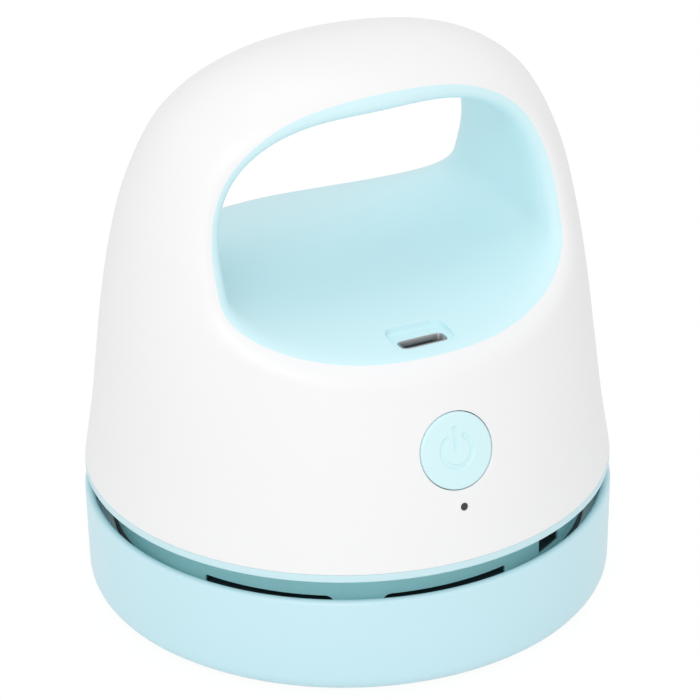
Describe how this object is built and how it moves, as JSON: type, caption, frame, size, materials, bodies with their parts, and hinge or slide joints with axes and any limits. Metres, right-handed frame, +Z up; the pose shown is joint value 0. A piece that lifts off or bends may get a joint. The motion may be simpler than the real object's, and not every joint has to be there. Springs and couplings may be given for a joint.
{
  "type": "desktop vacuum cleaner",
  "caption": "Palm-sized desktop vacuum cleaner: domed casing with a hand hole and sunk charging port, push button, exhaust windows, fan and lift-off dust cup with brushes under it.",
  "frame": {"origin": "middle of the base, on the desk", "axes": "+Z up; the button faces -Y and the hand hole runs along Y"},
  "size_m": [0.0828, 0.0828, 0.0911],
  "materials": {
    "casing_white": "satin white",
    "liner_blue": "satin pale blue",
    "cup_blue": "smooth pale blue",
    "collar_blue": "smooth pale blue",
    "button_blue": "satin pale blue",
    "inner_white": "moulded",
    "inner_dark": "moulded",
    "board_green": "printed board",
    "steel": "satin",
    "port_steel": "pressed sheet",
    "motor_steel": "zinc plated",
    "magnet": "sintered",
    "laminations": "stacked sheet",
    "brass": "turned",
    "cell_wrap": "shrink wrap",
    "lamp": "clear moulded",
    "bristle": "nylon",
    "rubber_grey": "soft",
    "mesh": "woven",
    "felt": "felt"
  },
  "bodies": {
    "base": {"dust_cup": "cup_blue", "floor_plate": "cup_blue", "inlet_dome": "cup_blue", "brush_holder": "inner_white", "brush_tufts": "bristle", "glide_feet": "rubber_grey", "filter_frame": "inner_white", "filter_mesh": "mesh", "filter_pad": "felt", "cup_seal": "rubber_grey"},
    "upper": {"upper_casing": "casing_white", "handle_liner": "liner_blue", "charging_socket": "port_steel", "socket_tongue": "inner_dark", "charging_board": "board_green", "charging_board_screws": "steel", "tact_switch": "inner_dark", "control_board": "board_green", "board_chips": "inner_dark", "board_screws": "steel", "charge_lamp": "lamp", "light_pipe": "lamp", "exhaust_collar": "collar_blue", "casing_screws": "steel", "intake_plate": "collar_blue", "motor_can": "motor_steel", "motor_magnets": "magnet", "motor_bearings": "brass", "motor_end_cap": "inner_white", "motor_terminals": "brass", "motor_bracket": "inner_white", "motor_screws": "steel", "battery_cell": "cell_wrap", "battery_tabs": "steel", "battery_cradle": "inner_white"},
    "button": {"power_button": "button_blue", "switch_plunger": "inner_dark"},
    "rotor": {"motor_shaft": "steel", "motor_armature": "laminations", "fan_wheel": "inner_white"}
  },
  "joints": [
    {"name": "upper_lift", "type": "slide", "parent": "base", "child": "upper", "axis": [0, 0, 1], "range_m": [0, 0.04]},
    {"name": "button_press", "type": "slide", "parent": "upper", "child": "button", "axis": [0, 0.9559, -0.2937], "range_m": [0, 0.0008], "stiffness_N_per_m": 400},
    {"name": "fan_spin", "type": "hinge", "parent": "upper", "child": "rotor", "pos_m": [0, 0, 0.03], "axis": [0, 0, 1], "continuous": true}
  ]
}
